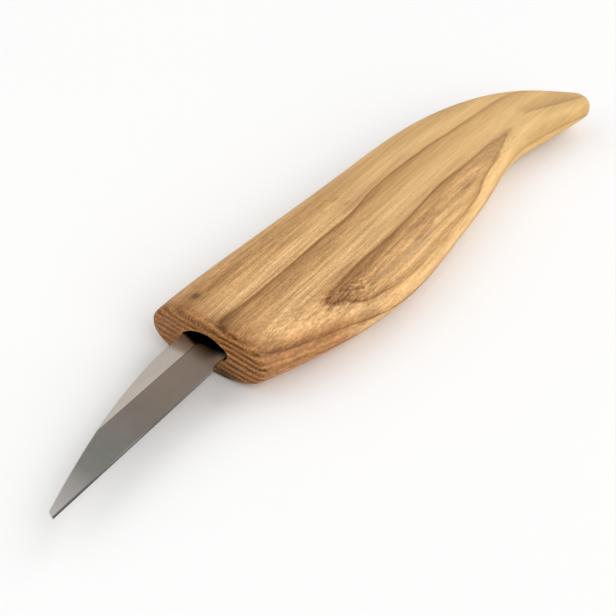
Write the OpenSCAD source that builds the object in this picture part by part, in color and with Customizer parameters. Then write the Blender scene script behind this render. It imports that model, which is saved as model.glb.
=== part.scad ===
// Wood carving knife lying on its broad side.
//
// A one-piece ash handle, swollen to fill the palm and swept to a narrow tail,
// holds a short steel blade with a straight cutting edge. The tang of the
// blade stands in a slot in the front end of the handle, and a black filler
// sets it there.
//
// Millimetres. +X points to the tip of the blade, +Y to the side of the
// cutting edge, +Z up. The handle lies on z = 0, and the origin is under the
// middle of the whole knife.

/* [Handle] */
// Length of the handle, front end to tail
handle_len = 137; // [125:1:150]
// Width of the front end
front_w = 29.8; // [28.6:0.2:31]
// Thickness between the two broad faces
handle_t = 13.6; // [13:0.2:15]
// Width of the rounding along the long edges, seen from above
edge_w = 11; // [6:0.5:12]
// Height of that rounding
edge_h = 6.5; // [5:0.1:6.5]
// How far the front end is rounded over at the upper face
front_r = 2.4; // [0.8:0.2:2.8]
// How far it is rounded over at the lower face
front_under_r = 0.8; // [0.4:0.1:2]
// Radius of the front end at the two edges
front_edge_r = 0.9; // [0.4:0.1:1.2]
// Extra swell of the belly
belly_swell = 0; // [-2:0.5:3]
// Thickness at the tail
tail_t = 6.4; // [6:0.1:8]
// Width of the rounding along the edges of the tail
tail_edge_w = 2.9; // [2:0.1:3.2]
// Height of that rounding
tail_edge_h = 3; // [2.2:0.1:3]
// Reach of the rounded end of the tail
tail_end = 2.6; // [1:0.2:4]

/* [Blade] */
// Length of the blade in front of the handle
blade_len = 53.6; // [46:0.2:62]
// Width of the blade, spine to cutting edge
blade_w = 12.1; // [11:0.1:12.1]
// Thickness of the blade
blade_t = 2; // [1.6:0.1:2.2]
// Width of the flat between the spine and the grind
flat_w = 4.3; // [3:0.1:5.5]
// Width of the fine bevel along the cutting edge
micro_w = 0.5; // [0.4:0.1:1]
// Thickness where the fine bevel starts
micro_t = 0.32; // [0.2:0.02:0.4]
// Height of the blunt tip
tip_h = 1.8; // [1.4:0.1:2.6]
// Bare heel between the handle and the cutting edge
heel = 4; // [3:0.2:6]

/* [Tang and socket] */
// Length of the tang inside the handle
tang_len = 44; // [34:1:50]
// Width of the tang behind the heel
tang_w = 8.4; // [7:0.2:9]
// Width of the slot in the front end
slot_w = 12; // [12:0.1:12.5]
// Height of the slot
slot_h = 6.4; // [5.6:0.2:6.8]
// Depth of the slot behind the tang
slot_spare = 2; // [1:0.5:4]
// How far the filler stays below the mouth of the slot
fill_recess = 2.2; // [1:0.2:3]

/* [Hidden] */

// ---- outline of the handle, seen from above --------------------------------
// Control points of two smooth curves from the front end to the tail:
// [distance behind the front end, offset from the middle of the blade].
// The back is nearly straight, then hooks round to the tail. The belly swells,
// draws in behind the palm, and flares out again under the tail.
drawn_len = 137;
len_k = handle_len / drawn_len;
front_c = 0.15;
back_line = [
    [0, front_c - front_w / 2], [8, -14.85], [26, -13.75], [48, -11.95], [72, -10.4],
    [96, -9.3], [118.6, -1.9], [131, 8.3], [136, 19.3]
];
belly_line = [
    [0, front_c + front_w / 2], [8, 18.65], [26, 24.65 + belly_swell / 2],
    [46, 27.1 + belly_swell], [66, 24.65 + belly_swell], [86, 23 + belly_swell / 2],
    [101.5, 19.1], [114.5, 22.5], [132.3, 26]
];

// A uniform cubic curve that starts and ends on its first and last points.
function ends(p) = concat([2 * p[0] - p[1]], p, [2 * p[len(p) - 1] - p[len(p) - 2]]);
function bend(q, u) =
    let (k = len(q) - 3, i = min(floor(u * k), k - 1), t = u * k - i)
    (pow(1 - t, 3) * q[i] + (3 * t * t * t - 6 * t * t + 4) * q[i + 1]
     + (3 * t * t - 3 * t * t * t + 3 * t + 1) * q[i + 2] + t * t * t * q[i + 3]) / 6;
function ease(t) = let (c = max(0, min(1, t))) c * c * (3 - 2 * c);

back_q = ends(back_line);
belly_q = ends(belly_line);

// The plan point at u, with the distance turned to -X.
function at(q, u) = let (p = bend(q, u)) [-p[0] * len_k, p[1]];

// The plan of one section across the handle at u: its middle, the direction
// from back to belly, half its width and half its height, and the width and
// height of its rounded edges.
function across(u) =
    let (b = at(back_q, u), e = at(belly_q, u), w = ease((u - 0.5) / 0.5),
         a = norm(e - b) / 2, h = (handle_t * (1 - w) + tail_t * w) / 2)
    [(b + e) / 2, (e - b) / norm(e - b), a, h,
     min(edge_w * (1 - w) + tail_edge_w * w, 0.96 * a),
     min(edge_h * (1 - w) + tail_edge_h * w, 0.96 * h)];

// One point of that section. g runs round it: 0 at the belly edge, 90 on the
// upper face. It is drawn in by dy and dz.
function skin_point(u, g, q, dy, dz) =
    let (s = across(u), m = s[0], d = s[1],
         sy = (q == 0 || q == 3) ? 1 : -1, sz = (q < 2) ? 1 : -1,
         y = sy * (s[2] - s[4]) + (s[4] - dy) * cos(g),
         z = sz * (s[3] - s[5]) + (s[5] - dz) * sin(g))
    [m[0] + d[0] * y, m[1] + d[1] * y, z];

// All round: four quarters of corner_steps each.
corner_steps = 8;
quarter = [for (q = [0:3]) for (j = [0:corner_steps]) [q * 90 + j * 90 / corner_steps, q]];

// The front end is rounded over far on the upper face, little elsewhere.
function front_z(g) = g <= 180 ? front_r : front_under_r;
function front_reach(g) = front_edge_r + (front_z(g) - front_edge_r) * sin(g) * sin(g);
function u_front(g) = front_reach(g) / (belly_line[1][0] * len_k * (len(belly_line) - 1));

// Rings: the rounded front, the grip, and the rounded end of the tail, where
// both curves run on and the section closes on itself.
arris_steps = 5;
grip_steps = 52;
tail_u = tail_end / 120;
tail_close = 0.88;
sections = concat(
    [for (j = [0:arris_steps - 1])
        let (f = 90 - 90 * j / arris_steps)
        [for (k = quarter) skin_point(u_front(k[0]) * (1 - sin(f)), k[0], k[1],
            front_edge_r * (1 - cos(f)), front_z(k[0]) * (1 - cos(f)))]],
    [for (j = [0:grip_steps])
        [for (k = quarter) let (u0 = u_front(k[0]))
            skin_point(u0 + (1 - u0) * j / grip_steps, k[0], k[1], 0, 0)]],
    [for (j = [1:arris_steps])
        let (f = 90 * j / arris_steps, u = 1 + tail_u * sin(f),
             i = tail_close * (1 - cos(f)), s = across(u))
        [for (k = quarter) skin_point(u, k[0], k[1], i * s[4], i * s[5])]]
);
ring = 4 * (corner_steps + 1);
last = len(sections) - 1;
all_points = [for (s = sections) for (p = s) p];
skin = concat(
    [[for (i = [0:ring - 1]) i]],
    [for (s = [0:last - 1]) for (i = [0:ring - 1])
        let (a = s * ring + i, b = s * ring + (i + 1) % ring)
        each [[a, a + ring, b], [b, a + ring, b + ring]]],
    [[for (i = [ring - 1:-1:0]) last * ring + i]]
);

// The middle of the whole knife, from the tail to the tip of the blade.
x_mid = (min([for (p = all_points) p[0]]) + blade_len) / 2;
y_mid = (min([for (p = all_points) p[1]]) + max([for (p = all_points) p[1]])) / 2;
module placed() { translate([-x_mid, -y_mid, handle_t / 2]) children(); }

// ---- slot for the tang -----------------------------------------------------
// Two long arcs, above and below, run into a small round at each end.
slot_y = -0.45;
slot_end_r = 1.6;
slot_c = slot_w / 2 - slot_end_r;
slot_g = slot_h / 2 - slot_end_r;
slot_d = (slot_c * slot_c - slot_g * slot_g) / (2 * slot_g);
slot_R = slot_d + slot_h / 2;
slot_a = atan2(slot_c, slot_d);
slot_depth = tang_len + slot_spare;
function arc(x, y, r, a0, a1, n) =
    [for (i = [0:n - 1]) let (g = a0 + (a1 - a0) * i / n) [x + r * cos(g), y + r * sin(g)]];
slot_shape = concat(
    arc(0, -slot_d, slot_R, 90 - slot_a, 90 + slot_a, 12),
    arc(-slot_c, 0, slot_end_r, 90 + slot_a, 270 - slot_a, 8),
    arc(0, slot_d, slot_R, 270 - slot_a, 270 + slot_a, 12),
    arc(slot_c, 0, slot_end_r, 270 + slot_a, 450 - slot_a, 8)
);

// Extrudes a Y-Z shape along X, from x0 to x1.
module along_x(x0, x1) {
    translate([x0, 0, 0]) rotate([90, 0, 90]) linear_extrude(height = x1 - x0) children();
}
module slot(x0, x1) {
    along_x(x0, x1) translate([slot_y, 0]) polygon(slot_shape);
}

// ---- blade -----------------------------------------------------------------
edge_y = 6.2;
spine_y = edge_y - blade_w;
grind_y = spine_y + flat_w;
heel_y = 5.3;
heel_run = 2;
tip_rake = 0.8;
buried = 6;

// Across the blade: flats by the spine, the grind on both sides, and the fine
// bevel that meets at the cutting edge.
blade_section = [
    [spine_y - 1, -blade_t / 2], [grind_y, -blade_t / 2], [edge_y - micro_w, -micro_t / 2],
    [edge_y, 0],
    [edge_y - micro_w, micro_t / 2], [grind_y, blade_t / 2], [spine_y - 1, blade_t / 2]
];

// Seen from above: the spine leaves the handle straight and drops to the tip.
spine_p = [
    [0.11 * blade_len, spine_y], [0.4 * blade_len, spine_y],
    [0.8 * blade_len, edge_y - 5.4], [blade_len - tip_rake, edge_y - tip_h]
];
function drop(t) =
    pow(1 - t, 3) * spine_p[0] + 3 * pow(1 - t, 2) * t * spine_p[1]
    + 3 * (1 - t) * t * t * spine_p[2] + t * t * t * spine_p[3];
blade_outline = concat(
    [[-buried, heel_y], [-buried, spine_y]],
    [for (i = [0:20]) drop(i / 20)],
    [[blade_len, edge_y]],
    [for (i = [0:8]) [heel + heel_run * (1 - i / 8),
                      heel_y + (edge_y - heel_y) * (1 - ease(i / 8))]]
);

// The tang narrows away from the blade.
tang_end_w = 5.6;
tang_outline = [
    [-4, -tang_w / 2 - 0.6], [-4, tang_w / 2 + 0.6], [-8, tang_w / 2],
    [-tang_len + 1, tang_end_w / 2], [-tang_len, tang_end_w / 2 - 1],
    [-tang_len, 1 - tang_end_w / 2], [-tang_len + 1, -tang_end_w / 2], [-8, -tang_w / 2]
];
// Round notches in both edges of the tang that key it into the filler.
notch_r = 1.1;
notch_x = [for (i = [1:3]) -8 - (tang_len - 10) * i / 4];
function tang_half(x) =
    let (t = (-8 - x) / (tang_len - 9)) (tang_w * (1 - t) + tang_end_w * t) / 2;

module blade_body() {
    intersection() {
        along_x(-buried, blade_len + 1) polygon(blade_section);
        translate([0, 0, -blade_t]) linear_extrude(height = 2 * blade_t) polygon(blade_outline);
    }
    difference() {
        translate([0, 0, -blade_t / 2]) linear_extrude(height = blade_t) polygon(tang_outline);
        for (x = notch_x) for (s = [-1, 1])
            translate([x, s * (tang_half(x) + 0.2), -blade_t])
                cylinder(r = notch_r, h = 2 * blade_t, $fn = 32);
    }
}

// ---- sub-parts -------------------------------------------------------------
module handle() {
    color([0.77, 0.59, 0.36]) placed() difference() {
        polyhedron(points = all_points, faces = skin, convexity = 6);
        slot(-slot_depth, 1);
    }
}
module blade() {
    color([0.62, 0.61, 0.59]) placed() blade_body();
}
module adhesive() {
    color([0.05, 0.05, 0.055]) placed() difference() {
        slot(-slot_depth, -fill_recess);
        blade_body();
    }
}

handle();
blade();
adhesive();
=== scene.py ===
import math

import bpy
import numpy as np
from mathutils import Matrix, Vector


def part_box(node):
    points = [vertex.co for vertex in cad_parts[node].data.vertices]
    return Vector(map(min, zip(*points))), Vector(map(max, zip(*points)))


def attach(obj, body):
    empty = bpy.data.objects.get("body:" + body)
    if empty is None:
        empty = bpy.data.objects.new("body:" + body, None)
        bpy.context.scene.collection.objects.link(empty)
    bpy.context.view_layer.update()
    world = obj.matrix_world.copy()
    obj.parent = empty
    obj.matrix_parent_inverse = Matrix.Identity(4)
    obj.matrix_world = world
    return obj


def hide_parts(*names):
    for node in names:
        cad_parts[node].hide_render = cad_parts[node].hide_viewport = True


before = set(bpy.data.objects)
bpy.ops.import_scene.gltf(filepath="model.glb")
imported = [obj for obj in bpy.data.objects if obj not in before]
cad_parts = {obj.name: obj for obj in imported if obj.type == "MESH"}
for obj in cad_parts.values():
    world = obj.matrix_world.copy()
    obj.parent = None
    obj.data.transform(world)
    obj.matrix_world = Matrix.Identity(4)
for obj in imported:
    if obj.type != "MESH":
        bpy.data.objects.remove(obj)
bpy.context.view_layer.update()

# ---------------------------------------------------------------------------
# Shared measures, in millimetres. The drawing frame has its origin in the
# front end of the handle, on the middle line of the blade, half way up.
# ---------------------------------------------------------------------------
MM = 0.001
HALF_T = 6.8
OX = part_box("handle")[1].x / MM
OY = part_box("blade")[1].y / MM - 6.2


def place(p):
    """Points of the drawing frame, in mm, to the part's frame, in metres."""
    p = np.asarray(p, float)
    return (p + np.array([OX, OY, HALF_T])) * MM


def ease(t):
    t = np.clip(t, 0.0, 1.0)
    return t * t * (3 - 2 * t)


# ---------------------------------------------------------------------------
# Mesh helpers
# ---------------------------------------------------------------------------
def new_mesh(name, verts, faces, face_mat=None):
    me = bpy.data.meshes.new(name)
    me.from_pydata([tuple(v) for v in verts], [], faces)
    me.validate()
    if face_mat is not None:
        me.polygons.foreach_set("material_index", np.asarray(face_mat, np.int32))
    me.shade_smooth()
    me.update()
    ob = bpy.data.objects.new(name, me)
    bpy.context.scene.collection.objects.link(ob)
    return ob


def set_attr(ob, name, values):
    at = ob.data.attributes.new(name, "FLOAT", "POINT")
    at.data.foreach_set("value", np.asarray(values, np.float32))


def mark_sharp(ob, pairs):
    wanted = {tuple(sorted(p)) for p in pairs}
    for e in ob.data.edges:
        if tuple(sorted(e.vertices)) in wanted:
            e.use_edge_sharp = True


# ---------------------------------------------------------------------------
# Handle
# ---------------------------------------------------------------------------
HANDLE_T, TAIL_T = 13.6, 6.4
EDGE_W, EDGE_H, TAIL_EDGE_W, TAIL_EDGE_H = 11.0, 6.5, 2.9, 3.0
FRONT_R, FRONT_UNDER_R, FRONT_EDGE_R = 2.4, 0.8, 0.9
TAIL_END, TAIL_CLOSE = 2.6, 0.88
FRONT_W, FRONT_C = 29.8, 0.15
BACK = np.array([
    [0, FRONT_C - FRONT_W / 2], [8, -14.85], [26, -13.75], [48, -11.95], [72, -10.4],
    [96, -9.3], [118.6, -1.9], [131, 8.3], [136, 19.3]], float)
BELLY = np.array([
    [0, FRONT_C + FRONT_W / 2], [8, 18.65], [26, 24.65], [46, 27.1], [66, 24.65],
    [86, 23], [101.5, 19.1], [114.5, 22.5], [132.3, 26]], float)


def curve(points, u):
    q = np.vstack([2 * points[0] - points[1], points, 2 * points[-1] - points[-2]])
    k = len(q) - 3
    i = np.minimum(np.floor(u * k).astype(int), k - 1)
    t = (u * k - i)[:, None]
    return ((1 - t) ** 3 * q[i] + (3 * t ** 3 - 6 * t * t + 4) * q[i + 1]
            + (3 * t * t - 3 * t ** 3 + 3 * t + 1) * q[i + 2] + t ** 3 * q[i + 3]) / 6


# Once round a section: the angle in the rounded edges, and on which side of the
# middle each point lies, sliding over on the flats.
CORNER, FLAT_TOP, FLAT_SIDE = 26, 52, 3
ang, side_y, side_z = [], [], []
for q in range(4):
    sy, sz = (1 if q in (0, 3) else -1), (1 if q < 2 else -1)
    nq = (q + 1) % 4
    ny, nz = (1 if nq in (0, 3) else -1), (1 if nq < 2 else -1)
    for j in range(CORNER + 1):
        ang.append(q * 90 + j * 90 / CORNER)
        side_y.append(sy)
        side_z.append(sz)
    n = FLAT_TOP if q in (0, 2) else FLAT_SIDE
    for j in range(1, n):
        ang.append(q * 90 + 90)
        side_y.append(sy + (ny - sy) * j / n)
        side_z.append(sz + (nz - sz) * j / n)
ang, side_y, side_z = np.radians(ang), np.array(side_y), np.array(side_z)
RN = len(ang)
front_z = np.where(ang <= math.pi + 1e-9, FRONT_R, FRONT_UNDER_R)
reach = FRONT_EDGE_R + (front_z - FRONT_EDGE_R) * np.sin(ang) ** 2
U_FRONT = reach / (BELLY[1, 0] * (len(BELLY) - 1))


def across(u):
    b, e = curve(BACK, u) * [-1, 1], curve(BELLY, u) * [-1, 1]
    span = np.linalg.norm(e - b, axis=1)
    w = ease((u - 0.5) / 0.5)
    a, h = span / 2, (HANDLE_T * (1 - w) + TAIL_T * w) / 2
    return ((b + e) / 2, (e - b) / span[:, None], a, h,
            np.minimum(EDGE_W * (1 - w) + TAIL_EDGE_W * w, 0.96 * a),
            np.minimum(EDGE_H * (1 - w) + TAIL_EDGE_H * w, 0.96 * h))


def ring_at(u, dy, dz):
    m, d, a, h, ry, rz = across(u)
    y = side_y * (a - ry) + (ry - dy) * np.cos(ang)
    z = side_z * (h - rz) + (rz - dz) * np.sin(ang)
    return np.column_stack([m[:, 0] + d[:, 0] * y, m[:, 1] + d[:, 1] * y, z])


rings = []
for j in range(9):
    f = math.radians(90 - 10 * j)
    rings.append(ring_at(U_FRONT * (1 - math.sin(f)), FRONT_EDGE_R * (1 - math.cos(f)),
                         front_z * (1 - math.cos(f))))
for j in range(321):
    rings.append(ring_at(U_FRONT + (1 - U_FRONT) * j / 320, 0, 0))
for j in range(1, 11):
    f = math.radians(9 * j)
    u = np.full(RN, 1 + TAIL_END / 120 * math.sin(f))
    k = TAIL_CLOSE * (1 - math.cos(f))
    ry, rz = across(u)[4:]
    rings.append(ring_at(u, k * ry, k * rz))

# The slot in the front end: two long arcs and a small round at each end.
SLOT_Y, SLOT_END, SLOT_W, SLOT_H, SLOT_DEPTH = -0.45, 1.6, 12.0, 6.4, 46.0
sc_, sg_ = SLOT_W / 2 - SLOT_END, SLOT_H / 2 - SLOT_END
sd_ = (sc_ ** 2 - sg_ ** 2) / (2 * sg_)
sR_, sa_ = sd_ + SLOT_H / 2, math.atan2(sc_, sd_)


def slot_radius(theta):
    """Distance from the slot's middle to its wall, in the direction theta."""
    pts = []
    for cx, cy, r, a0, a1, n in (
            (0, -sd_, sR_, math.pi / 2 - sa_, math.pi / 2 + sa_, 200),
            (-sc_, 0, SLOT_END, math.pi / 2 + sa_, 1.5 * math.pi - sa_, 120),
            (0, sd_, sR_, 1.5 * math.pi - sa_, 1.5 * math.pi + sa_, 200),
            (sc_, 0, SLOT_END, 1.5 * math.pi + sa_, 2.5 * math.pi - sa_, 120)):
        g = a0 + (a1 - a0) * np.arange(n) / n
        pts.append(np.column_stack([cx + r * np.cos(g), cy + r * np.sin(g)]))
    p = np.vstack(pts)
    th = np.arctan2(p[:, 1], p[:, 0])
    o = np.argsort(th)
    return np.interp(theta, th[o], np.hypot(p[:, 0], p[:, 1])[o], period=2 * math.pi)


face_ring = rings[0]
theta = np.arctan2(face_ring[:, 2], face_ring[:, 1] - SLOT_Y)
wall = slot_radius(theta)
RIM = 0.18


def slot_ring(x, out):
    return np.column_stack([np.full(RN, x), SLOT_Y + (wall + out) * np.cos(theta), (wall + out) * np.sin(theta)])


front = []
mouth = slot_ring(0.0, RIM)
for k in range(1, 13):
    front.append(face_ring + (mouth - face_ring) * k / 12)
for k in range(1, 6):
    g = math.radians(18 * k)
    front.append(slot_ring(-RIM * (1 - math.cos(g)), RIM * (1 - math.sin(g))))
walls = [slot_ring(x, 0.0) for x in (-0.8, -1.4, -2.2, -4.0, -10.0, -24.0, -SLOT_DEPTH)]
tail_face = rings[-1]
tail_mid = tail_face.mean(0)
tail_caps = [tail_mid + (tail_face - tail_mid) * s for s in (0.75, 0.5, 0.25)]

# One closed skin: slot floor, slot wall, mouth, end face, grip, tail.
order = [r for r in reversed(front + walls)] + rings + tail_caps
H_PTS = np.vstack(order + [np.array([[-SLOT_DEPTH, SLOT_Y, 0.0]]), tail_mid[None]])
faces = []
for s in range(len(order) - 1):
    for i in range(RN):
        a, b = s * RN + i, s * RN + (i + 1) % RN
        faces.append((a, b, b + RN, a + RN))
first_c, last_c, last_s = len(order) * RN, len(order) * RN + 1, (len(order) - 1) * RN
for i in range(RN):
    j = (i + 1) % RN
    faces.append((first_c, j, i))
    faces.append((last_c, last_s + i, last_s + j))
h_low, h_high = (np.array(v) / MM - [OX, OY, HALF_T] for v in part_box("handle"))
H_PTS = np.clip(H_PTS, h_low, h_high)
handle = new_mesh("handle_wood_grip", place(H_PTS), [tuple(reversed(f)) for f in faces])

# Growth rings. Each control point gives the level of the ring surface seen on
# the upper broad face: [x, y, level]. A whole number is the start of a year.
GRAIN = np.array([
    # first dark line, along the middle of the broad face
    [-3.7, 2.4, 1], [-9.7, 3, 1], [-17.7, 3.4, 1], [-25.7, 3.7, 1], [-36.7, 3.7, 1], [-48, 4.1, 1],
    [-55, 3.6, 1], [-60.5, 3.1, 1], [-67.6, 3.1, 1], [-78.2, 3.7, 1.02], [-86, 4.1, 1.08], [-91.4, 4.6, 1.14],
    [-96.8, 5.1, 1.21], [-102.3, 5.6, 1.3], [-107.9, 5.9, 1.39], [-114.6, 6.4, 1.51], [-119.7, 7.1, 1.6],
    [-126.5, 9, 1.79],
    # the broad face beside it, to the back
    [-12, -2, 0.36], [-28, -2, 0.36], [-44, -2, 0.33], [-60, -2, 0.48], [-76, -2, 0.56], [-92, -1.5, 0.59],
    [-12, 0.5, 0.62], [-28, 0.5, 0.62], [-44, 0.5, 0.6], [-60, 0.5, 0.62], [-76, 0.5, 0.67], [-92, 1, 0.73],
    [-108, 1.5, 0.73], [-12.3, -6.8, 0.17], [-3.3, -7.3, 0.21], [-25.4, -6.3, 0.22], [-41.7, -6, 0.29],
    [-61, -5.3, 0.47], [-83.3, -4.3, 0.56], [-102.3, -1.7, 0.65], [-116, 1.6, 1.1], [-13.7, -10.9, 0.69],
    [-43, -8.9, 0.8], [-84.8, -6.6, 0.97],
    # the eye on the belly: its inner side
    [-106.7, 16.3, 2.52], [-102.2, 16, 2.46], [-94.9, 15.8, 2.33], [-86.6, 15.8, 2.19], [-78.5, 15.3, 2.07],
    [-73.3, 15, 2.03], [-63.2, 15.6, 2.02], [-57.7, 15.9, 2.02], [-50.2, 16.1, 2.01], [-43.8, 16.2, 2.02],
    [-37.8, 15.8, 2.02], [-32.8, 15.8, 2.02], [-25.4, 15.9, 2.06], [-20.3, 16.4, 2.15],
    # inside the eye
    [-22.5, 16.9, 2.19], [-28, 18, 2.2], [-28, 20, 2.43], [-36, 18, 2.2], [-36, 20.5, 2.63], [-36, 22.6, 2.84],
    [-44, 18.5, 2.22], [-44, 21, 2.68], [-44, 23.4, 3.03], [-56, 18.3, 2.28], [-56, 20.8, 2.64],
    [-56, 23, 3.02], [-67, 17.8, 2.33], [-67, 20, 2.62], [-67, 22.1, 2.97], [-76, 18.5, 2.49],
    [-76, 20.8, 2.74], [-84, 17.2, 2.34], [-84, 19, 2.59], [-92, 17.3, 2.48], [-100, 16.7, 2.54],
    # its closed side and the pale edge of the belly
    [-36, 24.2, 2.81], [-40, 24.7, 2.84], [-44, 25, 2.87], [-50, 24.9, 2.86], [-56, 24.6, 2.89],
    [-62, 24.1, 2.91], [-67, 23.7, 2.94], [-72, 23.2, 2.94], [-38, 25.2, 2.98], [-44, 25.6, 2.99],
    [-50, 25.5, 2.98], [-56, 25.2, 3.02], [-62, 24.7, 3.06], [-67, 24.3, 3.12], [-72, 23.8, 3.11],
    # the eye: its outer side, on the rounded belly
    [-106, 16.6, 2.52], [-101.3, 17.2, 2.56], [-96.6, 18.3, 2.63], [-91.9, 19.4, 2.68], [-86.7, 20.3, 2.67],
    [-82.1, 21.3, 2.74], [-78.7, 22.2, 2.88], [-31.8, 23.3, 2.75], [-28.1, 22.4, 2.7], [-24.7, 20.5, 2.48],
    [-22, 18.4, 2.31],
    # paler ground round the eye
    [-10, 15, 2.05], [-16, 18, 2.19], [-96, 20, 2.77], [-104, 18.8, 2.52], [-86, 21.6, 2.77],
    [-116, 18.8, 2.44], [-12, 11, 1.63], [-28, 11.5, 1.62], [-44, 11.5, 1.64], [-60, 11.5, 1.64],
    [-76, 11.5, 1.66], [-92, 12, 1.84], [-108, 12.5, 2.13], [-120, 12.8, 2.35], [-12, 6.5, 1.16],
    [-28, 6.5, 1.16], [-44, 6.5, 1.18], [-60, 6.5, 1.26], [-76, 6.8, 1.3], [-92, 7.4, 1.46], [-108, 8.8, 1.72],
    # the dark line low on the belly
    [-1.5, 13.7, 1.69], [-3.2, 15, 1.83], [-6.5, 16.7, 1.93], [-11.2, 18.8, 2.04], [-16.1, 20.7, 2.14],
    [-21.1, 22.4, 2.25], [-25.7, 23.8, 2.48], [-31.1, 25, 2.78],
    # the tail
    [-134.8, 23.8, 2.84], [-130.2, 21, 2.78], [-125.7, 18.3, 2.74], [-121.7, 16.2, 2.66], [-126.6, 15.6, 2.68],
    [-131.1, 16.9, 2.74], [-130.6, 18.6, 2.76], [-127, 17.2, 2.72], [-113.9, 16.3, 2.5], [-126, 22.4, 2.6],
    [-115.5, 10.4, 2]], float)


def grain_level(xy, pts=GRAIN, kx=0.25, smooth=0.006):
    """A thin-plate surface through the control points, stiffer along the fibres."""
    s = np.array([kx, 1.0])

    def kernel(r2):
        return np.where(r2 > 1e-12, 0.5 * r2 * np.log(np.maximum(r2, 1e-12)), 0.0)

    c = pts[:, :2] * s
    n = len(c)
    k = kernel(((c[:, None] - c[None]) ** 2).sum(-1)) + smooth * np.eye(n)
    pm = np.column_stack([np.ones(n), c])
    m = np.block([[k, pm], [pm.T, np.zeros((3, 3))]])
    sol = np.linalg.solve(m, np.concatenate([pts[:, 2], np.zeros(3)]))
    out = np.empty(len(xy))
    q = xy * s
    for i in range(0, len(q), 4000):
        part = q[i:i + 4000]
        out[i:i + 4000] = (kernel(((part[:, None] - c[None]) ** 2).sum(-1)) @ sol[:n]
                           + sol[n] + part @ sol[n + 1:])
    return out


set_attr(handle, "grain", grain_level(H_PTS[:, :2]))
normals = np.empty(len(H_PTS) * 3, np.float32)
handle.data.vertices.foreach_get("normal", normals)
normals = normals.reshape(-1, 3)
end_face = ease((np.abs(normals[:, 0]) - 0.15) / 0.6)
set_attr(handle, "endgrain", end_face)
# the front end drinks oil, and stays darker for a few millimetres behind it
set_attr(handle, "soaked", np.maximum(np.where(H_PTS[:, 0] < -60, 0.35, 1.0) * end_face, 1.0 * np.exp(np.minimum(H_PTS[:, 0], 0) / 3.8)))


def stroke(line, wide, ends=3.0, low=False):
    """1 on a line of [x, y] points on the upper side, fading so many mm to its sides and ends."""
    q = np.asarray(line, float)
    seg = np.diff(q, axis=0)
    ln = np.linalg.norm(seg, axis=1)
    start = np.concatenate([[0.0], np.cumsum(ln)])
    best, at = np.full(len(H_PTS), 1e9), np.zeros(len(H_PTS))
    for k in range(len(seg)):
        d = H_PTS[:, :2] - q[k]
        t = np.clip(d @ seg[k] / ln[k] ** 2, 0, 1)
        r = np.linalg.norm(d - t[:, None] * seg[k], axis=1)
        near = r < best
        best[near], at[near] = r[near], start[k] + t[near] * ln[k]
    upper = 1.0 if low else ease((H_PTS[:, 2] + 1.5) / 2.5)
    return np.exp(-(best / wide) ** 2) * ease(at / ends) * ease((start[-1] - at) / ends) * upper


def shade(line, fade, ends=3.0):
    """1 along a line of [x, y] points on the upper side: a clear edge to the belly, fading to the back."""
    q = np.asarray(line, float)[::-1]
    y = np.interp(H_PTS[:, 0], q[:, 0], q[:, 1])
    d = y - H_PTS[:, 1]
    along = ease((q[-1, 0] - H_PTS[:, 0]) / ends) * ease((H_PTS[:, 0] - q[0, 0]) / ends)
    return np.where(d > 0, np.exp(-np.maximum(d, 0) / fade), ease(1 + d / 0.5)) * along * (H_PTS[:, 2] > 0)


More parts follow.
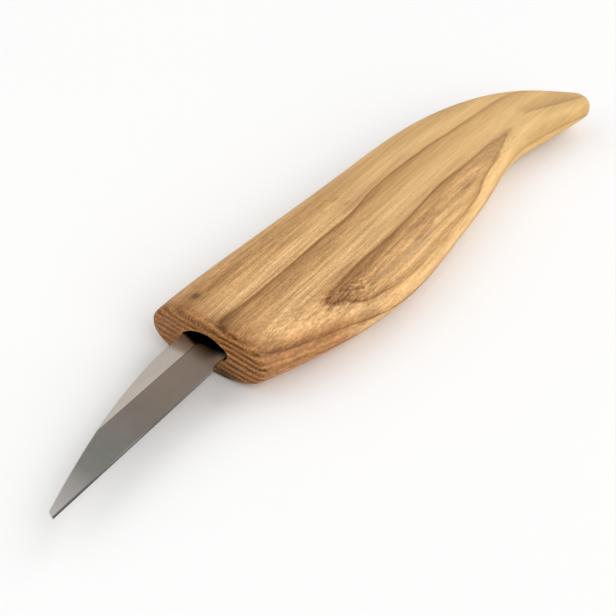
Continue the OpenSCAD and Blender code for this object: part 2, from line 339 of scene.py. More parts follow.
# Figure beyond the plain rings. Darker:
dark = (0.98 * stroke([[-4.0, -7.4], [-6.1, -7.1], [-8.2, -7.4]], 1.05, 1.9)
        + 0.5 * stroke([[-5.0, -7.3], [-6.1, -7.1], [-7.2, -7.3]], 0.7, 1.0)
        + 0.22 * stroke([[1, -5.9], [-3, -5.9], [-9, -6.1], [-15, -6.3], [-22, -6.1]], 0.45, 2.5)
        + 0.10 * stroke([[-24, -5.2], [-34, -4.2], [-46, -4.6]], 1.9, 5)
        + 0.36 * stroke([[-1.5, 13.7], [-3.2, 15.0], [-6.5, 16.7], [-11.2, 18.8], [-16.1, 20.7], [-21.1, 22.4], [-25.7, 23.8], [-31.1, 25.0]], 0.42, 3)
        + 0.50 * stroke([[3, 3.4], [-1.5, 3.4], [-4, 3.4], [-8, 3.4]], 2.4, 5)
        + 0.26 * stroke([[-11, 14.2], [-19, 14.1], [-26, 14.0], [-37, 14.2]], 0.7, 4)
        + 0.24 * stroke([[-18.6, 16.8], [-21, 16.5], [-25, 16.0], [-31, 16.2]], 0.75, 1.6)
        + 0.12 * stroke([[-18.5, 16.6], [-22, 17.6], [-26, 18.6], [-31, 19.8]], 1.8, 2.2)
        + 0.25 * stroke([[-20.5, 17.2], [-24, 20.0], [-27.5, 21.9], [-31, 22.8], [-36, 24.0]], 0.8, 2.5)
        + 0.62 * stroke([[-49, 21.0], [-53, 20.9], [-56, 20.8], [-61, 20.4]], 0.6, 2.5)
        + 0.30 * stroke([[-57, 20.4], [-64, 20.0], [-74, 19.8], [-82, 19.4]], 0.8, 5)
        + 0.20 * stroke([[-47, 2.8], [-52, 2.2], [-58, 1.9], [-66, 1.8], [-80, 1.7]], 0.7, 4)
        + 0.26 * stroke([[-84, 18.0], [-92, 17.3], [-99, 16.7], [-107.5, 16.2]], 1.2, 4)
        + 0.55 * shade([[-114, 14.6], [-119.5, 16.4], [-122, 17.5], [-126, 19.5], [-130, 21.5], [-136, 24.5]], 2.8, 5)
        + 0.12 * stroke([[-94, 5.1], [-102, 5.9], [-110, 6.3], [-120, 7.1]], 0.8, 4)
        + 0.20 * stroke([[-106, 20.1], [-112, 20.9], [-116.5, 21.6], [-121, 23.0], [-126, 24.3]], 1.0, 4)
        + 0.16 * stroke([[-1, 15.6], [-4.8, 16.6], [-9, 18.2]], 1.5, 2, low=True)
        + 0.45 * stroke([[-45.4, -1.6], [-46.6, -1.5], [-47.9, -1.7]], 0.42, 0.9)
        + 0.45 * stroke([[-50.9, -2.2], [-52.4, -2.0], [-54.0, -2.0]], 0.42, 0.9)
        + 0.40 * stroke([[-51.0, 1.2], [-52.6, 1.1], [-54.0, 1.4]], 0.42, 0.9))
set_attr(handle, "dark", np.clip(dark, 0, 1))
# paler:
pale = (0.32 * stroke([[-5, 13.6], [-10, 15.4], [-15, 17.4], [-20, 19.8]], 1.7, 4)
        + 0.17 * stroke([[-2, 9.7], [-15, 9.4], [-32, 9.6]], 0.55, 5)
        + 0.14 * stroke([[-3, 12.3], [-15, 11.3], [-30, 11.1]], 0.5, 5)
        + 0.36 * stroke([[-30, 25.0], [-38, 26.2], [-47, 26.6], [-58, 25.7], [-70, 24.4], [-82, 22.7], [-96, 20.6], [-104, 19.9]], 1.5, 8, low=True)
        + 0.78 * stroke([[2, -13.2], [-14, -12.4], [-40, -10.4], [-70, -8.4], [-92, -6.6], [-104, -4]], 3.0, 6)
        + 0.35 * stroke([[-14.5, 21.6], [-19.5, 23.8], [-24.5, 25.2]], 1.3, 2.5, low=True)
        + 0.25 * stroke([[-6, -6.4], [-12, -7.6], [-20, -8]], 2.0, 3)
        + 0.17 * stroke([[-84, 12.6], [-96, 12.6], [-110, 12.6]], 1.2, 6))
set_attr(handle, "pale", np.clip(pale, 0, 1))
# redder:
red = (0.95 * stroke([[3, 13.5], [-2, 15.4], [-8, 17.9], [-16, 20.9], [-24, 23.6]], 1.9, 7, low=True)
       + 0.20 * stroke([[-20, 16.9], [-30, 18.4], [-44, 19.4], [-58, 19.4], [-72, 18.8], [-84, 18.6]], 2.8, 4)
       + 0.05 * stroke([[2, -8], [-8, -8], [-20, -7.5], [-30, -8]], 2.5, 6)
       + 0.22 * stroke([[-129, 26], [-133.5, 25.2], [-138, 23.4]], 1.6, 3, low=True))
set_attr(handle, "red", np.clip(red, 0, 1))
# short slanting strokes where the rings run out on the front of the belly
curl = (stroke([[-2, 11.5], [-9, 13.5], [-16, 16.5], [-24, 18.5], [-34, 20.5]], 3.4, 5))
set_attr(handle, "curl", np.clip(curl, 0, 1))
# coarse open wood inside the eye
eye = (0.28 * stroke([[-18.5, 16.6], [-24, 18.2], [-32, 19.0], [-44, 19.8], [-58, 19.6], [-72, 18.8], [-86, 18.0], [-107, 16.3]], 2.7, 3)
       + 0.72 * stroke([[-18.5, 16.4], [-22, 17.4], [-27, 18.8], [-34, 20.2]], 2.6, 3)
       + 0.06 * stroke([[-118.5, 16.2], [-125, 17.8], [-134, 21.5]], 2.0, 4))
set_attr(handle, "eye", np.clip(eye, 0, 1))
streaky = stroke([[-29, 19.6], [-44, 20.6], [-58, 20.2], [-72, 19.4], [-90, 18.2]], 2.8, 6)
set_attr(handle, "streaky", np.clip(streaky, 0, 1))
# the upper rim of the slot mouth gets a painted highlight, and the end face a painted shadow under the heel of the
# blade
at_front = (H_PTS[:, 0] > -0.7) & (np.arange(len(H_PTS)) < len(order) * RN)
gap = np.hypot(H_PTS[:, 1] - SLOT_Y, H_PTS[:, 2]) - slot_radius(np.arctan2(H_PTS[:, 2], H_PTS[:, 1] - SLOT_Y))
set_attr(handle, "rim", np.exp(-((gap - 0.45) / 0.45) ** 2) * at_front * ease((H_PTS[:, 2] + 1.0) / 2.0))
set_attr(handle, "heel_shadow", np.exp(-((H_PTS[:, 1] - 4.6) / 3.8) ** 2 - ((H_PTS[:, 2] + 6.0) / 2.0) ** 2) * ease((H_PTS[:, 0] + 3) / 2.5))
# the ring line is faint where it runs along the belly
mild = 0.42 * stroke([[-33, 23.8], [-38, 24.5], [-44, 25.0], [-50, 24.9], [-56, 24.6], [-62, 24.1], [-67, 23.7], [-74, 22.9], [-82, 21.6]], 1.3, 4) * ease((H_PTS[:, 0] + 84) / 20)
set_attr(handle, "mild", np.clip(mild, 0, 1))
# the wall of the slot is near-black, fading out towards the mouth
in_slot = np.zeros(len(H_PTS))
in_slot[:(len(walls)) * RN] = 1.0
in_slot[first_c] = 1.0
for k in range(5):
    in_slot[(len(walls) + k) * RN:(len(walls) + k + 1) * RN] = (0.9, 0.7, 0.45, 0.2, 0.05)[k]
set_attr(handle, "socket", in_slot)

# ---------------------------------------------------------------------------
# Blade: one loft from the end of the tang to the tip
# ---------------------------------------------------------------------------
BLADE_LEN, EDGE_Y, SPINE_Y, GRIND_Y, HALF_B = 53.6, 6.2, -5.9, -1.6, 1.0
MICRO_Y, MICRO_Z, TIP_H, TIP_RAKE = 5.7, 0.16, 1.8, 0.8
HEEL, HEEL_RUN, HEEL_Y = 4.0, 2.0, 5.3
TANG_LEN, TANG_W, TANG_END = 44.0, 8.4, 5.6
SPINE_BEZ = np.array([[0.11 * BLADE_LEN, SPINE_Y], [0.4 * BLADE_LEN, SPINE_Y],
                      [0.8 * BLADE_LEN, EDGE_Y - 5.4], [BLADE_LEN - TIP_RAKE, EDGE_Y - TIP_H]])


def half_thick(y):
    return np.interp(y, [GRIND_Y, MICRO_Y, EDGE_Y], [HALF_B, MICRO_Z, 0.0])


tb = np.linspace(0, 1, 600)[:, None]
bez = ((1 - tb) ** 3 * SPINE_BEZ[0] + 3 * (1 - tb) ** 2 * tb * SPINE_BEZ[1]
       + 3 * (1 - tb) * tb ** 2 * SPINE_BEZ[2] + tb ** 3 * SPINE_BEZ[3])


def spine_at(x):
    return np.interp(x, bez[:, 0], bez[:, 1], left=SPINE_Y)


def edge_at(x):
    return HEEL_Y + (EDGE_Y - HEEL_Y) * float(ease((x - HEEL) / HEEL_RUN))


def tang_half(x):
    t = (-8 - x) / (TANG_LEN - 9)
    w = (TANG_W * (1 - t) + TANG_END * t) / 2 if x < -8 else TANG_W / 2 + 0.6 * (x + 8) / 4
    if x < -TANG_LEN + 1:
        w -= (-TANG_LEN + 1 - x)
    for i in (1, 2, 3):
        xn = -8 - (TANG_LEN - 10) * i / 4
        if abs(x - xn) < 1.1:
            w = min(w, w + 0.2 - math.sqrt(1.21 - (x - xn) ** 2))
    return w


N_FLAT, N_BEVEL, N_MICRO, N_ROUND = 6, 14, 2, 5
SPINE_R = 0.22


def blade_half(ys, ye):
    """Upper half of a section, from the middle of the spine to the edge."""
    zs = float(half_thick(ys))
    r = min(SPINE_R, 0.6 * zs)
    pts = [(ys, 0.0), (ys, (zs - r) * 0.5)]
    pts += [(ys + r * (1 - math.cos(a)), zs - r + r * math.sin(a))
            for a in np.linspace(0, math.pi / 2, N_ROUND)]
    y0 = ys + r
    gy = max(GRIND_Y, y0 + 0.01)
    top = [y0 + (gy - y0) * k / N_FLAT for k in range(1, N_FLAT + 1)]
    my = max(min(MICRO_Y, ye), gy + 0.02)
    top += [gy + (my - gy) * k / N_BEVEL for k in range(1, N_BEVEL + 1)]
    ey = max(ye, my + 0.001)
    top += [my + (ey - my) * k / N_MICRO for k in range(1, N_MICRO + 1)]
    pts += [(y, float(half_thick(y))) for y in top]
    pts[-1] = (pts[-1][0], max(pts[-1][1], 0.0))
    return np.array(pts)


def tang_half_section(x):
    hw = tang_half(x)
    base = blade_half(SPINE_Y, HEEL_Y)
    n_side = 1 + N_ROUND
    pts = [(-hw, 0.0)] + [(-hw, HALF_B * k / n_side) for k in range(1, n_side + 1)]
    rest = len(base) - len(pts)
    n_end = N_MICRO
    pts += [(-hw + 2 * hw * k / (rest - n_end), HALF_B) for k in range(1, rest - n_end + 1)]
    pts += [(hw, HALF_B * (1 - k / n_end * 0.6)) for k in range(1, n_end + 1)]
    return np.array(pts)


def blade_ring(x, lean):
    if x <= -6.0:
        half = tang_half_section(x)
    else:
        half = blade_half(float(spine_at(x)), edge_at(x))
        if x < -3.0:
            w = float(ease((-3.0 - x) / 3.0))
            half = half * (1 - w) + tang_half_section(-6.0) * w
    low = half[1:] * np.array([1, -1])
    ring = np.vstack([half, low[::-1]])
    return np.column_stack([x + lean * (ring[:, 0] - EDGE_Y), ring])


xs = set(np.round(np.linspace(-TANG_LEN, -TANG_LEN + 1, 4), 4)) | set(np.round(np.linspace(-TANG_LEN + 1, -8, 40), 4))
for i in (1, 2, 3):
    xn = -8 - (TANG_LEN - 10) * i / 4
    xs |= set(np.round(np.linspace(xn - 1.1, xn + 1.1, 17), 4))
xs |= set(np.round(np.linspace(-8, -3, 14), 4)) | set(np.round(np.linspace(-3, 12, 46), 4))
xs |= set(np.round(np.linspace(12, BLADE_LEN, 110), 4))
xs = sorted(xs)
b_rings = []
for x in xs:
    w = float(ease((x - 38) / (BLADE_LEN - 38)))
    lean = w * TIP_RAKE / TIP_H
    if w > 0:
        # the spine point of a leaning section sits on the spine curve
        ys = float(spine_at(x))
        for _ in range(12):
            ys = float(spine_at(x + lean * (ys - EDGE_Y)))
        half = blade_half(ys, EDGE_Y)
        ring = np.vstack([half, (half[1:] * np.array([1, -1]))[::-1]])
        b_rings.append(np.column_stack([x + lean * (ring[:, 0] - EDGE_Y), ring]))
    else:
        b_rings.append(blade_ring(x, 0.0))
BN = len(b_rings[0])
B_PTS = np.vstack(b_rings + [b_rings[0].mean(0)[None], b_rings[-1].mean(0)[None]])
b_faces, b_mat = [], []
n_half = len(blade_half(SPINE_Y, EDGE_Y))
i_round = 1 + N_ROUND
i_grind = i_round + N_FLAT
i_micro = i_grind + N_BEVEL
i_edge = i_micro + N_MICRO


def zone(i):
    k = i if i < n_half else BN - i - 1
    k = i if i < i_edge else (BN - 1 - i if i > i_edge else i_edge)
    if i == i_edge:
        return 2
    if k < i_grind:
        return 0
    return 1 if k < i_micro else 2


for s in range(len(b_rings) - 1):
    for i in range(BN):
        j = (i + 1) % BN
        b_faces.append((s * BN + i, s * BN + j, (s + 1) * BN + j, (s + 1) * BN + i))
        b_mat.append(0 if xs[s] < -5.9 else zone(i))
c0, c1, ls = len(b_rings) * BN, len(b_rings) * BN + 1, (len(b_rings) - 1) * BN
for i in range(BN):
    j = (i + 1) % BN
    b_faces.append((c0, j, i))
    b_mat.append(0)
    b_faces.append((c1, ls + i, ls + j))
    b_mat.append(0)
blade = new_mesh("blade_and_tang", place(B_PTS), b_faces, b_mat)
sharp = []
for s in range(len(b_rings) - 1):
    for i in (i_grind, i_micro, i_edge, i_edge + 1, BN - i_micro, BN - i_grind):
        sharp.append((s * BN + i % BN, (s + 1) * BN + i % BN))
for i in range(BN):
    sharp.append((ls + i, ls + (i + 1) % BN))
    sharp.append((i, (i + 1) % BN))
mark_sharp(blade, sharp)

# Where the blade leaves the handle, painted reflections of the slot lie on both sides: black by the mouth of the slot,
# then a dark brown painted reflection. By the heel a painted glint makes it bright.
bx, by = B_PTS[:, 0], B_PTS[:, 1]
black_to = np.where(by < -1.2, np.interp(by, [-5.9, -4.9, -3.1, -2.1, -1.2], [0.2, 0.4, 1.1, 1.55, 1.8]),
                    np.interp(by, [-1.2, -0.4, 0.8, 2.3, 3.6, 4.9], [1.0, 0.6, 0.45, 0.35, 0.0, -0.5]))
set_attr(blade, "slot_reflection", ease((black_to + 0.5 - bx) / 0.9))
set_attr(blade, "dark_root_reflection", np.where(by < -1.5, 0.9 * ease((6.4 - bx) / 2.4), 0.5 * ease((6.0 - bx) / 3.5) * ease((3.6 - by) / 1.6)))
set_attr(blade, "heel_glint", ease((by - 3.0) / 1.6) * ease((4.4 - bx) / 3.6))
# on the front half the edge bevel darkens from its inner line to the edge itself: a painted highlight on the inner
# line, painted shade towards the edge
set_attr(blade, "edge_bevel_shading", np.clip((EDGE_Y - by) / (EDGE_Y - MICRO_Y), 0, 1) * ease((bx - 22) / 12))


# ---------------------------------------------------------------------------
# Materials
# ---------------------------------------------------------------------------
class Shader:
    def __init__(self, name):
        self.mat = bpy.data.materials.new(name)
        self.mat.use_nodes = True
        self.nt = self.mat.node_tree
        self.nt.nodes.clear()
        self.out = self.node("ShaderNodeOutputMaterial")
        self.bsdf = self.node("ShaderNodeBsdfPrincipled")
        self.nt.links.new(self.bsdf.outputs[0], self.out.inputs["Surface"])
        self._mm = None

    def put(self, socket, v):
        if isinstance(v, bpy.types.NodeSocket):
            self.nt.links.new(v, socket)
        elif v is not None:
            if socket.type == "RGBA" and len(v) == 3:
                v = (*v, 1.0)
            socket.default_value = v

    def node(self, kind, ins=None, **props):
        n = self.nt.nodes.new(kind)
        for k, v in props.items():
            setattr(n, k, v)
        for k, v in (ins or {}).items():
            self.put(n.inputs[k], v)
        return n

    def math(self, op, a, b=None, c=None, clamp=False):
        n = self.node("ShaderNodeMath", operation=op, use_clamp=clamp)
        for i, v in enumerate((a, b, c)):
            if v is not None:
                self.put(n.inputs[i], v)
        return n.outputs[0]

    def mm(self):
        """Object coordinates in millimetres."""
        if self._mm is None:
            tc = self.node("ShaderNodeTexCoord")
            self._mm = self.stretch(tc.outputs["Object"], (1000, 1000, 1000))
        return self._mm

    def stretch(self, v, s):
        n = self.node("ShaderNodeVectorMath", operation="MULTIPLY")
        self.put(n.inputs[0], v)
        n.inputs[1].default_value = s
        return n.outputs[0]

    def shift(self, v, s):
        n = self.node("ShaderNodeVectorMath", operation="ADD")
        self.put(n.inputs[0], v)
        n.inputs[1].default_value = s
        return n.outputs[0]

    def noise(self, v, s=(1, 1, 1), detail=2.0, rough=0.5, off=None, distortion=0.0):
        v = self.stretch(v, s)
        if off is not None:
            v = self.shift(v, off)
        n = self.node("ShaderNodeTexNoise", {"Vector": v, "Scale": 1.0, "Detail": detail, "Roughness": rough,
                                             "Distortion": distortion})
        return n.outputs["Fac"]

    def ramp(self, fac, stops, interp="LINEAR"):
        n = self.node("ShaderNodeValToRGB")
        n.color_ramp.interpolation = interp
        el = n.color_ramp.elements
        while len(el) < len(stops):
            el.new(0.5)
        for e, (pos, col) in zip(el, stops):
            e.position = pos
            e.color = (*col, 1.0) if len(col) == 3 else col
        self.put(n.inputs["Fac"], fac)
        return n.outputs["Color"]

    def span(self, v, a, b, c=0.0, d=1.0, smooth=False):
        n = self.node("ShaderNodeMapRange", {"Value": v, "From Min": a, "From Max": b, "To Min": c, "To Max": d},
                      interpolation_type="SMOOTHSTEP" if smooth else "LINEAR", clamp=True)
        return n.outputs["Result"]

    def mix(self, fac, a, b, blend="MIX"):
        n = self.node("ShaderNodeMix", data_type="RGBA", blend_type=blend)
        self.put(n.inputs[0], fac)
        self.put(n.inputs[6], a)
        self.put(n.inputs[7], b)
        return n.outputs[2]

    def attr(self, name):
        return self.node("ShaderNodeAttribute", attribute_name=name).outputs["Fac"]

    def bump(self, height, strength, distance, normal=None):
        n = self.node("ShaderNodeBump", {"Height": height, "Strength": strength, "Distance": distance, "Normal": normal})
        return n.outputs[0]


def srgb(r, g, b, k=1.0):
    def lin(c):
        c /= 255.0
        return c / 12.92 if c <= 0.04045 else ((c + 0.055) / 1.055) ** 2.4
    return (lin(r) * k, lin(g) * k, lin(b) * k)


# -- oiled ash ---------------------------------------------------------------
END_PHASE = 0.2


def wood():
    s = Shader("oiled_ash")
    p = s.mm()
    xyz = s.node("ShaderNodeSeparateXYZ", {"Vector": p})
    end = s.attr("endgrain")
    # ring level through the thickness
    level = s.math("ADD", s.attr("grain"), s.math("MULTIPLY", s.math("SUBTRACT", xyz.outputs["Z"], HANDLE_T), 0.25))
    wob = s.math("MULTIPLY", s.math("SUBTRACT", s.noise(p, (0.05, 0.22, 0.22), 2.0), 0.5), 0.06)
    jag = s.math("MULTIPLY", s.math("SUBTRACT", s.noise(p, (0.16, 2.2, 2.2), 2.0, 0.6), 0.5), 0.035)
    level = s.math("ADD", level, s.math("ADD", wob, jag))
    year = s.math("FRACT", level)
    K = 0.92
    col = s.ramp(year, [
        (0.0, srgb(152, 107, 58, K)), (0.025, srgb(164, 119, 68, K)), (0.07, srgb(188, 144, 89, K)),
        (0.16, srgb(202, 158, 101, K)), (0.34, srgb(213, 170, 112, K)), (0.46, srgb(219, 177, 120, K)),
        (0.60, srgb(227, 186, 129, K)), (0.70, srgb(229, 188, 131, K)), (0.78, srgb(221, 179, 122, K)),
        (0.94, srgb(219, 177, 120, K)), (0.97, srgb(208, 164, 108, K)), (1.0, srgb(168, 123, 71, K))])
    col = s.mix(s.attr("mild"), col, srgb(224, 182, 124, K))
    # towards the tail the figure calms down
    calm = s.span(xyz.outputs["X"], OX - 122, OX - 70, 0.42, 0.0, smooth=True)
    col = s.mix(calm, col, srgb(226, 185, 125, K))
    # fibres: long streaks, shorter ones, and a fine tooth that fades to the tail
    near = s.span(xyz.outputs["X"], OX - 85, OX - 20, 0.2, 1.0, smooth=True)
    fib = s.noise(p, (0.035, 1.9, 1.9), 3.0, 0.7)
    bands = s.noise(p, (0.05, 1.02, 1.02), 1.0, 0.5, off=(8.0, 5.0, 4.0))
    col = s.mix(s.span(xyz.outputs["X"], OX - 105, OX - 30, 0.3, 1.0, smooth=True), col,
                s.ramp(bands, [(0.3, (0.81, 0.79, 0.76)), (0.5, (1.0, 1.0, 1.0)), (0.7, (1.17, 1.175, 1.18))]), "MULTIPLY")
    col = s.mix(s.attr("streaky"), col, s.ramp(bands, [(0.3, (0.81, 0.78, 0.75)), (0.5, (1.0, 1.0, 1.0)), (0.7, (1.17, 1.18, 1.19))]),
                "MULTIPLY")
    col = s.mix(s.span(xyz.outputs["X"], OX - 90, OX - 35, 0.45, 1.0, smooth=True), col, s.ramp(fib, [(0.28, (0.83, 0.80, 0.76)), (0.5, (1.0, 1.0, 1.0)), (0.74, (1.12, 1.13, 1.14))]),
                "MULTIPLY")
    short = s.noise(p, (0.14, 2.7, 2.7), 2.0, 0.65, off=(5.0, 1.0, 8.0))
    col = s.mix(near, col, s.ramp(short, [(0.30, (0.80, 0.765, 0.72)), (0.5, (1.0, 1.0, 1.0)), (0.70, (1.11, 1.12, 1.13))]),
                "MULTIPLY")
    tooth = s.noise(p, (1.1, 2.8, 2.8), 1.0, 0.6, off=(2.0, 6.0, 3.0))
    col = s.mix(near, col, s.ramp(tooth, [(0.34, (0.84, 0.815, 0.785)), (0.5, (1.0, 1.0, 1.0)), (0.66, (1.105, 1.11, 1.115))]),
                "MULTIPLY")
    broad = s.noise(p, (0.022, 0.14, 0.14), 2.0, 0.5, off=(3.1, 7.7, 1.3))
    col = s.mix(1.0, col, s.ramp(broad, [(0.3, (0.96, 0.945, 0.925)), (0.7, (1.03, 1.03, 1.03))]), "MULTIPLY")
    # slanting strokes on the front of the belly
    turned = s.node("ShaderNodeVectorRotate", {"Vector": p, "Angle": math.radians(36)}, rotation_type="Z_AXIS")
    wave = s.noise(turned.outputs[0], (0.35, 1.5, 0.6), 2.0, 0.6, off=(7.0, 3.0, 1.0))
    col = s.mix(s.attr("curl"), col, s.ramp(wave, [(0.30, (0.72, 0.68, 0.63)), (0.5, (1.0, 1.0, 1.0)), (0.70, (1.14, 1.15, 1.16))]),
                "MULTIPLY")
    # coarse open wood
    flake = s.noise(p, (0.55, 2.3, 2.3), 2.0, 0.75, off=(9.0, 4.0, 2.0))
    col = s.mix(s.attr("eye"), col, s.ramp(flake, [(0.38, (0.44, 0.38, 0.31)), (0.5, (1.0, 1.0, 1.0)), (0.62, (1.42, 1.44, 1.46))]),
                "MULTIPLY")
    # open pores, close together where a year starts
    early = s.ramp(year, [(0.0, (1, 1, 1)), (0.26, (0.75, 0.75, 0.75)), (0.42, (0.22, 0.22, 0.22)), (1.0, (0.10, 0.10, 0.10))])
    pore = s.noise(p, (0.24, 3.2, 3.2), 1.0, 0.4, off=(11.0, 2.0, 5.0))
    pore = s.math("MULTIPLY", s.math("MULTIPLY", s.span(pore, 0.56, 0.66, smooth=True), early), near)
    col = s.mix(s.math("MULTIPLY", pore, 0.5), col, srgb(122, 80, 42, K))
    # figure beyond the rings
    col = s.mix(s.attr("pale"), col, (1.30, 1.29, 1.22, 1), "MULTIPLY")
    col = s.mix(s.attr("red"), col, (0.76, 0.60, 0.50, 1), "MULTIPLY")
    col = s.mix(s.attr("dark"), col, (0.42, 0.33, 0.25, 1), "MULTIPLY")
    # redder by the front end, yellower by the tail
    hue = s.ramp(s.span(xyz.outputs["X"], OX - 120, OX), [(0.0, (1.0, 1.02, 0.955)), (0.6, (1.0, 0.985, 0.985)), (1.0, (1.0, 0.955, 0.98))])
    col = s.mix(1.0, col, hue, "MULTIPLY")
    # end grain: thin even rings, nearly level, on wood that has drunk more oil
    rings = s.math("ADD", s.math("MULTIPLY", xyz.outputs["Z"], 1 / 1.55), s.math("MULTIPLY", xyz.outputs["Y"], 0.105 / 1.55))
    bend = s.noise(p, (0.3, 0.16, 0.22), 2.0, 0.5, off=(1.0, 4.0, 9.0))
    rings = s.math("ADD", rings, s.math("MULTIPLY", bend, 1.1))
    end_line = s.ramp(s.math("FRACT", s.math("ADD", rings, END_PHASE)), [
        (0.0, (0.27, 0.19, 0.125)), (0.16, (0.46, 0.36, 0.27)), (0.42, (1.18, 1.08, 0.98)), (0.62, (1.55, 1.48, 1.38)),
        (0.86, (0.68, 0.57, 0.46)), (1.0, (0.27, 0.19, 0.125))])
    # the lines show best towards the belly, and come and go
    show = s.math("MULTIPLY", s.span(xyz.outputs["Y"], OY - 8, OY + 7, 0.6, 1.0, smooth=True),
                  s.span(s.noise(p, (0.3, 0.35, 0.7), 2.0, 0.5, off=(2.0, 8.0, 5.0)), 0.34, 0.62, 0.3, 1.2, smooth=True))
    end_line = s.mix(show, (0.97, 0.92, 0.86, 1), end_line)
    dots = s.noise(p, (0.8, 2.4, 2.9), 2.0, 0.65, off=(6.0, 2.0, 7.0))
    end_line = s.mix(1.0, end_line, s.ramp(dots, [(0.3, (0.46, 0.41, 0.36)), (0.5, (1, 1, 1)), (0.7, (1.6, 1.6, 1.56))]), "MULTIPLY")
    col = s.mix(end, col, s.mix(1.0, srgb(214, 168, 110, K), end_line, "MULTIPLY"))
    col = s.mix(s.attr("soaked"), col, (0.56, 0.45, 0.36, 1), "MULTIPLY")
    # painted highlight along the upper rim of the slot mouth
    col = s.mix(s.attr("rim"), col, (1.55, 1.6, 1.55, 1), "MULTIPLY")
    # painted shadow on the end face under the heel of the blade
    col = s.mix(s.attr("heel_shadow"), col, (0.22, 0.20, 0.15, 1), "MULTIPLY")
    # the wall of the slot, near-black
    col = s.mix(s.attr("socket"), col, (0.006, 0.005, 0.004, 1))
    s.put(s.bsdf.inputs["Base Color"], col)
    s.put(s.bsdf.inputs["Roughness"], s.span(fib, 0.3, 0.7, 0.62, 0.48))
    s.put(s.bsdf.inputs["Specular IOR Level"], s.span(s.attr("socket"), 0.0, 0.6, 0.3, 0.03))
    h = s.math("SUBTRACT", s.math("MULTIPLY", fib, 0.6), s.math("MULTIPLY", pore, 0.8))
    s.put(s.bsdf.inputs["Normal"], s.bump(h, 0.35, 0.00012))
    return s.mat


# -- steel -------------------------------------------------------------------
def steel(name, tints, rough, along, depth, inner=None):
    """tints: [x, colour] along the blade, x in mm in front of the handle; inner: tint at the inner line of the edge bevel."""
    s = Shader(name)
    p = s.mm()
    xyz = s.node("ShaderNodeSeparateXYZ", {"Vector": p})
    scratch = s.noise(p, (0.15, 9.0, 9.0) if along else (9.0, 0.35, 0.35), 3.0, 0.7)
    cloud = s.noise(p, (0.09, 0.2, 0.2), 3.0, 0.55, off=(4.0, 9.0, 2.0))
    col = s.ramp(s.span(xyz.outputs["X"], OX, OX + BLADE_LEN), [(x / BLADE_LEN, c) for x, c in tints])
    col = s.mix(1.0, col, s.ramp(cloud, [(0.3, (0.95, 0.95, 0.95)), (0.7, (1.05, 1.05, 1.05))]), "MULTIPLY")
    col = s.mix(1.0, col, s.ramp(scratch, [(0.3, (0.97, 0.97, 0.97)), (0.7, (1.025, 1.025, 1.025))]), "MULTIPLY")
    if inner:
        # painted highlight at the inner line of the edge bevel, fading to painted shade at the edge
        col = s.mix(s.attr("edge_bevel_shading"), col, inner, "MULTIPLY")
    # painted dark reflection by the slot
    col = s.mix(s.attr("dark_root_reflection"), col, (0.50, 0.41, 0.33, 1), "MULTIPLY")
    # painted glint by the heel
    col = s.mix(s.attr("heel_glint"), col, (2.1, 2.5, 2.7, 1), "MULTIPLY")
    # painted reflection of the black slot mouth
    col = s.mix(s.attr("slot_reflection"), col, (0.012, 0.010, 0.008, 1))
    s.put(s.bsdf.inputs["Base Color"], col)
    s.bsdf.inputs["Metallic"].default_value = 1.0
    s.put(s.bsdf.inputs["Roughness"], s.span(scratch, 0.3, 0.7, rough - 0.03, rough + 0.05))
    s.put(s.bsdf.inputs["Normal"], s.bump(scratch, depth, 0.00003))
    return s.mat


# -- black filler ------------------------------------------------------------
def filler():
    s = Shader("black_filler")
    p = s.mm()
    lump = s.noise(p, (0.7, 0.7, 0.7), 3.0, 0.6)
    col = s.ramp(lump, [(0.3, (0.003, 0.003, 0.003)), (0.7, (0.009, 0.008, 0.008))])
    s.put(s.bsdf.inputs["Base Color"], col)
    s.put(s.bsdf.inputs["Roughness"], s.span(lump, 0.3, 0.7, 0.6, 0.8))
    s.bsdf.inputs["Specular IOR Level"].default_value = 0.12
    s.put(s.bsdf.inputs["Normal"], s.bump(lump, 0.5, 0.0003))
    return s.mat


handle.data.materials.append(wood())
blade.data.materials.append(steel("steel_flat", [
    (0, (0.575, 0.515, 0.45)), (12, (0.61, 0.555, 0.49)), (25, (0.61, 0.555, 0.487))], 0.38, True, 0.08))
# the grind bevel is the same steel as the flats: its darker tints along the blade are painted shade and painted
# reflection
blade.data.materials.append(steel("steel_grind_painted_shade", [
    (0, (0.285, 0.23, 0.18)), (12, (0.295, 0.23, 0.185)), (23, (0.255, 0.216, 0.183)), (30, (0.266, 0.238, 0.217)),
    (37, (0.258, 0.262, 0.236)), (41, (0.29, 0.28, 0.26)), (47, (0.473, 0.441, 0.416)), (53, (0.62, 0.58, 0.55))], 0.36, False, 0.03))
# the edge bevel is the same steel as well: its near-black tints are painted shade and painted reflection
blade.data.materials.append(steel("steel_edge_painted_shade", [
    (0, (0.175, 0.168, 0.16)), (14, (0.127, 0.122, 0.116)), (30, (0.092, 0.089, 0.085)), (45, (0.055, 0.053, 0.051)), (53, (0.070, 0.068, 0.065))], 0.30, True, 0.05,
    (3.2, 3.15, 3.1, 1)))
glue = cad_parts["adhesive"]
glue.data.materials.clear()
glue.data.materials.append(filler())

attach(handle, "root")
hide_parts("handle")
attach(blade, "root")
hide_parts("blade")

# ---------------------------------------------------------------------------
# Stage: pale floor, soft light, camera
# ---------------------------------------------------------------------------
scene = bpy.context.scene
scene.view_settings.view_transform = "Standard"
scene.view_settings.look = "None"

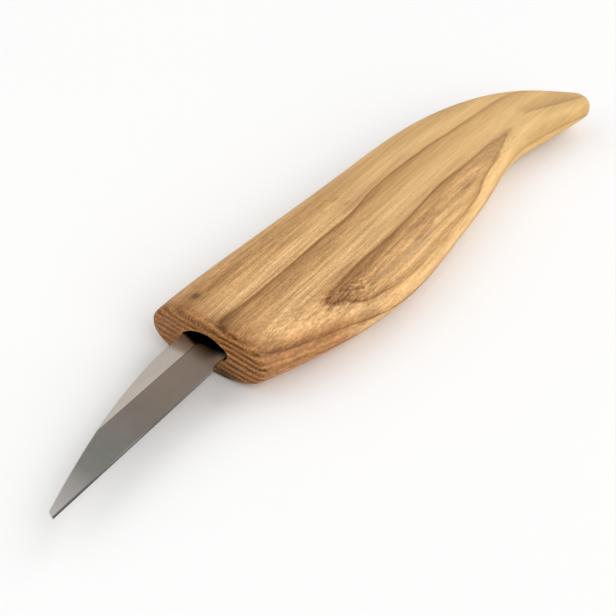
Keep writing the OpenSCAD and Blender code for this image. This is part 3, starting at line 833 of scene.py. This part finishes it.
fl = bpy.data.meshes.new("floor")
S = 4.0
fl.from_pydata([(-S, -S, 0), (S, -S, 0), (S, S, 0), (-S, S, 0)], [], [(0, 1, 2, 3)])
floor = bpy.data.objects.new("floor", fl)
floor.location.z = -0.00005
scene.collection.objects.link(floor)
fs = Shader("white_table")
tone = fs.noise(fs.mm(), (0.004, 0.004, 0.004), 2.0)
fs.put(fs.bsdf.inputs["Base Color"], fs.ramp(tone, [(0.3, (0.922, 0.922, 0.922)), (0.7, (0.937, 0.934, 0.932))]))
fs.bsdf.inputs["Roughness"].default_value = 0.6
fs.bsdf.inputs["Specular IOR Level"].default_value = 0.2
fl.materials.append(fs.mat)

world = bpy.data.worlds.new("studio")
scene.world = world
world.use_nodes = True
wt = world.node_tree
bg = wt.nodes["Background"]
bg.inputs["Color"].default_value = (1.0, 0.99, 0.98, 1)
bg.inputs["Strength"].default_value = 0.305


def soft_light(name, az, el, wide, power, tint=(1, 1, 1)):
    """A large far light, so many degrees wide, from a compass direction and height."""
    li = bpy.data.lights.new(name, "SUN")
    li.angle = math.radians(wide)
    li.energy = power * math.pi
    li.color = tint
    ob = bpy.data.objects.new(name, li)
    az, el = math.radians(az), math.radians(el)
    d = Vector((math.cos(az) * math.cos(el), math.sin(az) * math.cos(el), math.sin(el)))
    ob.location = d
    ob.rotation_euler = (-d).to_track_quat("-Z", "Y").to_euler()
    scene.collection.objects.link(ob)


# A light tent: brightest by the belly, then behind the tail, then by the back.
soft_light("tent_belly", 75, 36, 60, 0.60)
soft_light("tent_tail", 165, 35, 60, 0.39)
soft_light("tent_back", 252, 44, 50, 0.12)
soft_light("tent_front", 315, 36, 60, 0.175)

az, el, roll = math.radians(34.297), math.radians(39.983), math.radians(0.169)
back = Vector((math.cos(az) * math.cos(el), math.sin(az) * math.cos(el), math.sin(el)))
right = Vector((0, 0, 1)).cross(back).normalized()
up = back.cross(right)
r2 = right * math.cos(roll) + up * math.sin(roll)
u2 = up * math.cos(roll) - right * math.sin(roll)
target = Vector(place((-22.809, 10.617, 0.0)))
cam_data = bpy.data.cameras.new("photo_view")
cam_data.sensor_width = 36.0
cam_data.sensor_fit = "HORIZONTAL"
cam_data.lens = 1300.0 / 616.0 * 36.0
cam_data.clip_start, cam_data.clip_end = 0.01, 20.0
cam = bpy.data.objects.new("photo_view", cam_data)
m = Matrix((r2, u2, back)).transposed().to_4x4()
m.translation = target + back * 0.28532
cam.matrix_world = m
scene.collection.objects.link(cam)
scene.camera = cam
